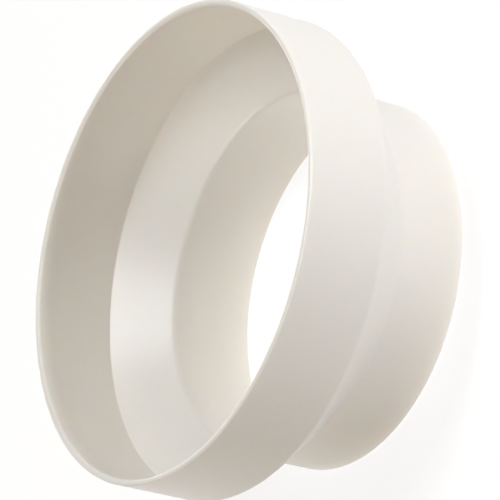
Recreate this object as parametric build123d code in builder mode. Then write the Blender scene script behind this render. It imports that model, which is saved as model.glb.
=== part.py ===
from build123d import *
import os

# Duct reducer: one moulded shell, revolved about +Z.
# It stands on its small end, with the large mouth up and the origin at the centre of the small end.

# Driving dimensions, in millimetres
LARGE_DUCT_DIAMETER = 125.0  # outside of the duct that slides into the socket
SMALL_DUCT_DIAMETER = 100.0  # inside of the duct or hose that slides over the spigot
SOCKET_CLEARANCE = 0.4  # socket bore over its duct, on the diameter
SPIGOT_CLEARANCE = 0.4  # spigot under its duct, on the diameter
WALL = 1.8  # of the socket and the spigot
SOCKET_DEPTH = 23.0  # large mouth to the crease where the shoulder starts, inside
SHOULDER_LENGTH = 11.5  # between the shoulder's two inside bends, along the axis
SPIGOT_LENGTH = 24.5  # small end to the ridge where the shoulder ends, inside
EDGE_DROP = 0.7  # shoulder's outside edge under its inside crease
ROOT_DROP = 4.5  # shoulder's outside root under its inside ridge: the wall thickens to there
ROUND_BEND_RADIUS = 2.3  # ridge inside, edge outside
CREASE_RADIUS = 0.5  # hollow bend inside
ROOT_RADIUS = 2.5  # hollow bend outside
RIM_CHAMFER = 0.35  # plain edges of the two rims
LEAD_IN_CHAMFER = 0.6  # rim edges that meet a duct first: mouth inside, spigot outside

# Radii of the two bores and the two outsides
socket_radius = (LARGE_DUCT_DIAMETER + SOCKET_CLEARANCE) / 2
spigot_radius = (SMALL_DUCT_DIAMETER - SPIGOT_CLEARANCE) / 2
body_radius = socket_radius + WALL
airway_radius = spigot_radius - WALL

# Heights of the bends and of the mouth
shoulder_crease = SPIGOT_LENGTH + SHOULDER_LENGTH
shoulder_edge = shoulder_crease - EDGE_DROP
shoulder_root = SPIGOT_LENGTH - ROOT_DROP
height = shoulder_crease + SOCKET_DEPTH

# The two rim edges share the wall's thickness, with a flat left between them
plain_edge = min(RIM_CHAMFER, WALL / 4)
lead_in_edge = min(LEAD_IN_CHAMFER, WALL / 3)

# Corners of the wall's section, each with its rounding or its bevel
bends = {
    (airway_radius, SPIGOT_LENGTH): ROUND_BEND_RADIUS,
    (socket_radius, shoulder_crease): CREASE_RADIUS,
    (body_radius, shoulder_edge): ROUND_BEND_RADIUS,
    (spigot_radius, shoulder_root): ROOT_RADIUS,
}
rim_edges = {
    (airway_radius, 0): plain_edge,
    (socket_radius, height): lead_in_edge,
    (body_radius, height): plain_edge,
    (spigot_radius, 0): lead_in_edge,
}

# The shell: inside face up, mouth rim, outside face down, bends rounded, rims bevelled, revolved
with BuildPart() as reducer_body:
    with BuildSketch(Plane.XZ) as wall_section:
        with BuildLine():
            Polyline(
                (airway_radius, 0),
                (airway_radius, SPIGOT_LENGTH),
                (socket_radius, shoulder_crease),
                (socket_radius, height),
                (body_radius, height),
                (body_radius, shoulder_edge),
                (spigot_radius, shoulder_root),
                (spigot_radius, 0),
                close=True,
            )
        make_face()
        for corner, radius in bends.items():
            fillet(wall_section.vertices().sort_by_distance(corner)[0], radius=radius)
        for corner, length in rim_edges.items():
            chamfer(wall_section.vertices().sort_by_distance(corner)[0], length=length)
    revolve(axis=Axis.Z)
reducer_body.part.label = "reducer_body"

os.makedirs("parts", exist_ok=True)
export_step(reducer_body.part, "parts/reducer_body.step")
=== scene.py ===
# %% [markdown]
# # A duct reducer in white plastic
# A duct reducer joins a wide round ventilation duct to a narrower one. It is moulded in one piece: a wide
# socket that takes the large duct, a conical shoulder, and a narrower spigot that enters the small duct.
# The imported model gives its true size, in metres, standing on its small end. Everything below is built
# around that model, so nothing has to be fitted by eye afterwards.

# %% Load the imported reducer
import math

import bmesh
import bpy
from mathutils import Matrix, Vector


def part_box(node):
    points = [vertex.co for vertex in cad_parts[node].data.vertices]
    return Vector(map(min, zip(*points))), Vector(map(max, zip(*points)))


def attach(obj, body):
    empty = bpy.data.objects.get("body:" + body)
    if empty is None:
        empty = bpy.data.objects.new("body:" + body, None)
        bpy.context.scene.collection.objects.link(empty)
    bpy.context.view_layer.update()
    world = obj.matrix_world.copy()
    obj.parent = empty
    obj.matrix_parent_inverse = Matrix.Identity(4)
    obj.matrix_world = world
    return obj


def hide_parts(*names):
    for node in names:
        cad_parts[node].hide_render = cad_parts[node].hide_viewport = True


MILLIMETRES = 1000.0

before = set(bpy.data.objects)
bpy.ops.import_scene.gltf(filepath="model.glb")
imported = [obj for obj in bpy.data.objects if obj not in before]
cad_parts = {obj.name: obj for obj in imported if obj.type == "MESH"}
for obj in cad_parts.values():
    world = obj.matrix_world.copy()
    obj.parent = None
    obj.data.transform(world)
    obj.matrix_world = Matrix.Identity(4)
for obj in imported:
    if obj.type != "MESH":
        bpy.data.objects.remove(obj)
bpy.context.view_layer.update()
far_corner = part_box("reducer_body")[1]
rim_width = 2 * far_corner.x
rim_height = far_corner.z
print(f"reducer: {MILLIMETRES * rim_width:.1f} mm wide, {MILLIMETRES * rim_height:.1f} mm high")

# %% [markdown]
# ## The wall, seen in section
# The wall is the same all the way round, so one slice of it holds the whole shape. The slice could be typed
# in again as a list of points, but then two files would have to agree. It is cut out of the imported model
# instead: a plane through the axis leaves two outlines of the wall, and the one on the +X side is kept.

# %% Cut one slice of the wall
MERGE_DISTANCE = 1e-7

wall = bmesh.new()
wall.from_mesh(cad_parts["reducer_body"].data)
bmesh.ops.remove_doubles(wall, verts=wall.verts, dist=MERGE_DISTANCE)
bmesh.ops.bisect_plane(
    wall,
    geom=wall.verts[:] + wall.edges[:] + wall.faces[:],
    dist=MERGE_DISTANCE,
    plane_co=(0, 0, 0),
    plane_no=(0, 1, 0),
    clear_inner=True,
    clear_outer=True,
)
bmesh.ops.delete(wall, geom=[v for v in wall.verts if v.co.x < 0], context="VERTS")
print(f"slice: {len(wall.verts)} points, {len(wall.edges)} edges")

# %% [markdown]
# ## Soft rims
# The edges of a moulded rim are never quite sharp: the tool is polished and the plastic shrinks. The corners
# of the slice that turn by 45 degrees are the edges of the two rims. Bevelling those points in the slice
# rounds every rim edge at once, and is far quicker than bevelling a finished ring.

# %% Round the rim corners
RIM_CORNER_TURN = math.radians(30)
RIM_SOFTNESS = 0.00022
RIM_SEGMENTS = 3


def turn_at(point):
    """How far the outline turns at one of its points."""
    before, after = (edge.other_vert(point).co - point.co for edge in point.link_edges)
    return math.pi - before.angle(after)


rim_corners = [v for v in wall.verts if turn_at(v) > RIM_CORNER_TURN]
bmesh.ops.bevel(
    wall,
    geom=rim_corners,
    offset=RIM_SOFTNESS,
    offset_type="OFFSET",
    segments=RIM_SEGMENTS,
    profile=0.5,
    affect="VERTICES",
    material=-1,
)
print(f"rims: {len(rim_corners)} corners rounded, {len(wall.verts)} points in the slice")

# %% [markdown]
# ## Spin the slice into the shell
# A full turn of the slice about the duct's axis is the moulded shell. Two hundred and eighty-eight steps keep
# the outline smooth even where the camera comes close. Smooth shading alone would bend the light across the
# flat walls near each bend, so a weighted normal modifier lets the large faces keep their own direction.

# %% Make the moulded shell
TURN_STEPS = 288
CUBIC_CENTIMETRES = 1e6

bmesh.ops.spin(
    wall,
    geom=wall.verts[:] + wall.edges[:],
    cent=(0, 0, 0),
    axis=(0, 0, 1),
    dvec=(0, 0, 0),
    angle=2 * math.pi,
    steps=TURN_STEPS,
    use_merge=True,
)
bmesh.ops.remove_doubles(wall, verts=wall.verts, dist=MERGE_DISTANCE)
bmesh.ops.recalc_face_normals(wall, faces=wall.faces)
for face in wall.faces:
    face.smooth = True
shell_mesh = bpy.data.meshes.new("moulded_shell")
wall.to_mesh(shell_mesh)
shell_volume = CUBIC_CENTIMETRES * wall.calc_volume(signed=True)
print(f"shell: {len(wall.faces)} faces, {shell_volume:.2f} cubic centimetres")
wall.free()

shell = bpy.data.objects.new("moulded_shell", shell_mesh)
bpy.context.scene.collection.objects.link(shell)
flat_walls = shell.modifiers.new("flat_walls", "WEIGHTED_NORMAL")
flat_walls.keep_sharp = False
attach(shell, "root")
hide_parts("reducer_body")

# %% [markdown]
# ## Shader sums as Python sums
# A material is a tree of nodes, and sums in it are easier to read as sums. This small class wraps one output
# of a node. Adding or multiplying it adds a Math node, and its `node` method adds any other kind of node:
# first the settings, then the values or links of its sockets.


# %% A socket that does sums
class Wire:
    """One output of a shader tree; sums on it add Math nodes."""

    def __init__(self, tree, socket=None):
        self.tree = tree
        self.socket = socket

    def node(self, kind, settings, sockets, output=0):
        made = self.tree.nodes.new("ShaderNode" + kind)
        for name, value in settings.items():
            setattr(made, name, value)
        for name, value in sockets.items():
            if isinstance(value, Wire):
                self.tree.links.new(value.socket, made.inputs[name])
            else:
                made.inputs[name].default_value = value
        return Wire(self.tree, made.outputs[output])

    def math(self, operation, first, second):
        return self.node("Math", {"operation": operation}, {0: first, 1: second})

    def __add__(self, other):
        return self.math("ADD", self, other)

    def __mul__(self, other):
        return self.math("MULTIPLY", self, other)

    __radd__ = __add__
    __rmul__ = __mul__


def new_tree(owner):
    """An empty shader tree on a material or a world, and its output node."""
    owner.use_nodes = True
    tree = owner.node_tree
    tree.nodes.clear()
    kind = "World" if isinstance(owner, bpy.types.World) else "Material"
    return Wire(tree), tree.nodes.new("ShaderNodeOutput" + kind)


print("shader sums ready")

# %% [markdown]
# ## White moulded plastic
# Rigid duct plastic is a warm white that is never perfectly even: the melt leaves faint clouds of tone, and
# the tool leaves a very fine grain that makes the surface satin and not glossy. One noise, with clouds a few
# centimetres wide, tints the colour. Together with a finer one it varies the roughness, and the finer one and
# the finest make a low bump. Light also goes a millimetre into such plastic before it comes out again. A
# plain surface colour would leave the bends hard, so most of the light is scattered below the surface, a
# little further in red than in blue.

# %% The plastic
PLASTIC_LIGHT = (0.895, 0.876, 0.83, 1.0)
PLASTIC_DARK = (0.865, 0.846, 0.798, 1.0)
CLOUD = {"Scale": 38.0, "Detail": 3.0, "Roughness": 0.55}
MOTTLE = {"Scale": 420.0, "Detail": 3.0, "Roughness": 0.6}
GRAIN = {"Scale": 2400.0, "Detail": 2.0, "Roughness": 0.6}
BASE_ROUGHNESS = 0.28
CLOUD_ROUGHNESS = 0.06
MOTTLE_ROUGHNESS = 0.05
MOTTLE_HEIGHT = 2.0
BUMP = {"Strength": 0.12, "Distance": 0.00006}
PLASTIC_IOR = 1.5
SCATTER = {"Subsurface Weight": 0.6, "Subsurface Radius": (0.85, 0.7, 0.55), "Subsurface Scale": 0.0015}
# A Mix node has sockets for numbers, vectors and colours. These are its colour sockets.
MIX_A, MIX_B, MIX_RESULT = 6, 7, 2


def white_plastic():
    material = bpy.data.materials.new("white_plastic")
    wire, output = new_tree(material)
    place = wire.node("TexCoord", {}, {}, "Object")
    cloud = wire.node("TexNoise", {}, {"Vector": place, **CLOUD})
    mottle = wire.node("TexNoise", {}, {"Vector": place, **MOTTLE})
    grain = wire.node("TexNoise", {}, {"Vector": place, **GRAIN})
    tones = {"Factor": cloud, MIX_A: PLASTIC_DARK, MIX_B: PLASTIC_LIGHT}
    colour = wire.node("Mix", {"data_type": "RGBA"}, tones, MIX_RESULT)
    roughness = BASE_ROUGHNESS + CLOUD_ROUGHNESS * cloud + MOTTLE_ROUGHNESS * mottle
    normal = wire.node("Bump", {}, {"Height": grain + MOTTLE_HEIGHT * mottle, **BUMP})
    surface = {"Base Color": colour, "Roughness": roughness, "Normal": normal, "IOR": PLASTIC_IOR}
    plastic = wire.node("BsdfPrincipled", {}, {**surface, **SCATTER})
    wire.tree.links.new(plastic.socket, output.inputs["Surface"])
    return material


shell.data.materials.append(white_plastic())
print(f"plastic: {len(shell.data.materials[0].node_tree.nodes)} nodes")

# %% [markdown]
# ## What the camera sees, and what lights the plastic
# A white background takes a lot of light, and so much light would wash out a white object. The renderer can
# keep the two apart. Its Light Path node tells the rays that draw the picture or a reflection from the rays
# that only carry light, so one surface can be white to the camera and still be a weak lamp. The second helper
# fades a value between two distances, for glow and shade that have no hard edge.


# %% Rays and fades
def seen_as_backdrop(wire):
    """1 for a camera, glossy or transmitted ray, 0 for light that bounces off something dull."""
    rays = wire.node("LightPath", {}, {})
    seen = rays.socket.node.outputs
    direct = Wire(wire.tree, seen["Is Camera Ray"])
    mirrored = Wire(wire.tree, seen["Is Glossy Ray"])
    through = Wire(wire.tree, seen["Is Transmission Ray"])
    either = direct.math("MAXIMUM", direct, mirrored)
    return either.math("MAXIMUM", either, through)


def fade(distance, core, edge):
    """1 on the core's side, 0 on the edge's side, smooth between the two distances."""
    reach = {"Value": distance, "From Min": edge, "From Max": core}
    return distance.node("MapRange", {"interpolation_type": "SMOOTHSTEP"}, reach)


print("rays and fades ready")

# %% [markdown]
# ## A white floor that keeps the shadow
# The fitting stands on a white sheet that is softly lit from below, so that light comes up through the open
# small end. One white emission would do for the camera, but it would swallow the shadow. So the floor has two
# faces. Light that bounces meets grey paint with a faint glow, and a brighter ring at the foot of the small
# end: it lights the wall beside that end, where a disc of glow would light the ridge above it as well. The
# camera and the reflections see paint that is lifted almost to white, keeps the shadow close to the fitting,
# and fades to plain white further out.

# %% The floor
WHITE = (1.0, 1.0, 1.0, 1.0)
PLAIN_WHITE = {"Color": WHITE, "Strength": 1.0}
FLOOR_SIZE = 4.0
FLOOR_PAINT = (0.6, 0.6, 0.6, 1.0)
GLOW_COLOUR = (1.0, 0.955, 0.915, 1.0)
FLOOR_GLOW = 0.2
RING_GLOW = 0.68
# The ring is at its full glow from RING_INSIDE to RING_OUTSIDE, and gone at RING_HOLLOW and RING_EDGE.
RING_HOLLOW = 0.03
RING_INSIDE = 0.04
RING_OUTSIDE = 0.048
RING_EDGE = 0.06
SHADE_PAINT = (0.3, 0.3, 0.3, 1.0)
SHADE_LIFT = 0.79
SHADE_CORE = 0.12
SHADE_EDGE = 0.4


def floor_white():
    material = bpy.data.materials.new("floor_white")
    wire, output = new_tree(material)
    place = wire.node("TexCoord", {}, {}, "Object")
    from_axis = wire.node("VectorMath", {"operation": "LENGTH"}, {0: place}, "Value")

    paint = wire.node("BsdfDiffuse", {}, {"Color": FLOOR_PAINT})
    dim = wire.node("Emission", {}, {"Color": GLOW_COLOUR, "Strength": FLOOR_GLOW})
    bright = wire.node("Emission", {}, {"Color": GLOW_COLOUR, "Strength": RING_GLOW})
    ring = fade(from_axis, RING_INSIDE, RING_HOLLOW) * fade(from_axis, RING_OUTSIDE, RING_EDGE)
    glow = wire.node("MixShader", {}, {0: ring, 1: dim, 2: bright})
    sheet = wire.node("AddShader", {}, {0: paint, 1: glow})

    white = wire.node("Emission", {}, PLAIN_WHITE)
    shade = wire.node("BsdfDiffuse", {}, {"Color": SHADE_PAINT})
    lift = wire.node("Emission", {}, {"Color": WHITE, "Strength": SHADE_LIFT})
    shaded = wire.node("AddShader", {}, {0: shade, 1: lift})
    seen = wire.node("MixShader", {}, {0: fade(from_axis, SHADE_CORE, SHADE_EDGE), 1: white, 2: shaded})

    mixed = wire.node("MixShader", {}, {0: seen_as_backdrop(wire), 1: sheet, 2: seen})
    wire.tree.links.new(mixed.socket, output.inputs["Surface"])
    return material


ground = bmesh.new()
bmesh.ops.create_grid(ground, x_segments=1, y_segments=1, size=FLOOR_SIZE / 2)
floor_mesh = bpy.data.meshes.new("floor")
ground.to_mesh(floor_mesh)
ground.free()
floor = bpy.data.objects.new("floor", floor_mesh)
bpy.context.scene.collection.objects.link(floor)
floor.data.materials.append(floor_white())
print(f"floor: {FLOOR_SIZE:.0f} m square")

# %% [markdown]
# ## A white room
# Past the edge of the floor the picture shows the world. It could be an image of a studio, but a plain room
# needs none. The camera and the reflections see white, and the plastic gets only a little warm light from all
# sides, so that the shade stays soft and never turns black.

# %% The room
AMBIENT_COLOUR = (1.0, 0.85, 0.65, 1.0)
AMBIENT_STRENGTH = 0.1


def white_world():
    world = bpy.data.worlds.new("white_room")
    wire, output = new_tree(world)
    ambient = wire.node("Background", {}, {"Color": AMBIENT_COLOUR, "Strength": AMBIENT_STRENGTH})
    white = wire.node("Background", {}, PLAIN_WHITE)
    mixed = wire.node("MixShader", {}, {0: seen_as_backdrop(wire), 1: ambient, 2: white})
    wire.tree.links.new(mixed.socket, output.inputs["Surface"])
    return world


bpy.context.scene.world = white_world()
print(f"room: warm light at {AMBIENT_STRENGTH:.1f} of full strength")

# %% [markdown]
# ## The camera
# The photograph looks down into the large mouth from about 32 degrees above the end face, with the camera
# turned almost on its side, so that the duct's axis runs across the picture. A long lens keeps the two
# rims nearly the same shape. The camera stands on the -Y side and is rolled about its own line of sight.

# %% Place the camera
VIEW_ELEVATION = math.radians(32.05)
VIEW_ROLL = math.radians(75.95)
VIEW_DISTANCE = 1.14
VIEW_TARGET = Vector((0.0029, 0.0, 0.0336))
FOCAL_LENGTH_PIXELS = 4346.0
PICTURE_PIXELS = 500
SENSOR_WIDTH = 36.0

sight = Vector((0, math.cos(VIEW_ELEVATION), -math.sin(VIEW_ELEVATION)))
right = Vector((1, 0, 0))
up = right.cross(sight)
rolled_right = math.cos(VIEW_ROLL) * right - math.sin(VIEW_ROLL) * up
rolled_up = math.sin(VIEW_ROLL) * right + math.cos(VIEW_ROLL) * up
camera_turn = Matrix((rolled_right, rolled_up, -sight)).transposed()

camera_data = bpy.data.cameras.new("camera")
camera_data.sensor_width = SENSOR_WIDTH
camera_data.lens = SENSOR_WIDTH * FOCAL_LENGTH_PIXELS / PICTURE_PIXELS
camera = bpy.data.objects.new("camera", camera_data)
camera.matrix_world = Matrix.Translation(VIEW_TARGET - VIEW_DISTANCE * sight) @ camera_turn.to_4x4()
bpy.context.scene.collection.objects.link(camera)
bpy.context.scene.camera = camera
print(f"camera: {camera_data.lens:.0f} mm lens, {VIEW_DISTANCE:.2f} m away")

# %% [markdown]
# ## Soft studio light
# The shading is soft but not flat: the outside of the wall has its own light, and inside, the cone is lighter
# than the walls above and below it. One large soft box would light all of them alike, so small ones share the
# work. A long strip just above the floor lights the outside and passes below the mouth. Three boxes high on
# the +X side, which is the top of the picture, light the inside. A warm one on the -X side fills the shade,
# and a strip behind lights the sides that the camera does not see.

# %% Soft boxes
LAMP_DISTANCE = 1.2
LAMP_TARGET = Vector((0, 0, rim_height / 2))


def soft_box(name, azimuth, elevation, width, height, power, colour):
    """A flat lamp at an angle round the reducer from +X, and an angle above the floor, in degrees."""
    turn = math.radians(azimuth)
    rise = math.radians(elevation)
    flat = math.cos(rise)
    place = LAMP_DISTANCE * Vector((math.cos(turn) * flat, math.sin(turn) * flat, math.sin(rise)))
    data = bpy.data.lights.new(name, "AREA")
    data.shape = "RECTANGLE"
    data.size = width
    data.size_y = height
    data.energy = power
    data.color = colour
    lamp = bpy.data.objects.new(name, data)
    lamp.location = place
    lamp.rotation_euler = (LAMP_TARGET - place).to_track_quat("-Z", "Y").to_euler()
    bpy.context.scene.collection.objects.link(lamp)
    print(f"lamp {name}: {power:.1f} W")


soft_box(
    "low_strip", azimuth=315, elevation=2.5, width=0.5, height=0.09, power=7.3, colour=(0.925, 0.94, 0.985)
)
soft_box(
    "upper_side", azimuth=0, elevation=65, width=0.25, height=0.25, power=3.3, colour=(0.89, 0.935, 1.0)
)
soft_box(
    "overhead", azimuth=340, elevation=75, width=0.25, height=0.25, power=3.1, colour=(0.99, 0.985, 1.0)
)
soft_box(
    "camera_side", azimuth=320, elevation=45, width=0.25, height=0.25, power=1.25, colour=(1.0, 0.97, 0.9)
)
soft_box(
    "far_fill", azimuth=180, elevation=30, width=0.4, height=0.4, power=3.6, colour=(1.0, 0.915, 0.82)
)
soft_box("back_strip", azimuth=90, elevation=5, width=0.5, height=0.15, power=4.0, colour=(1.0, 1.0, 1.0))

# %% [markdown]
# ## Colour as written
# The Standard view shows a colour as it is written, so that the plastic keeps its tone under other light too.

# %% Finish
bpy.context.scene.view_settings.view_transform = "Standard"
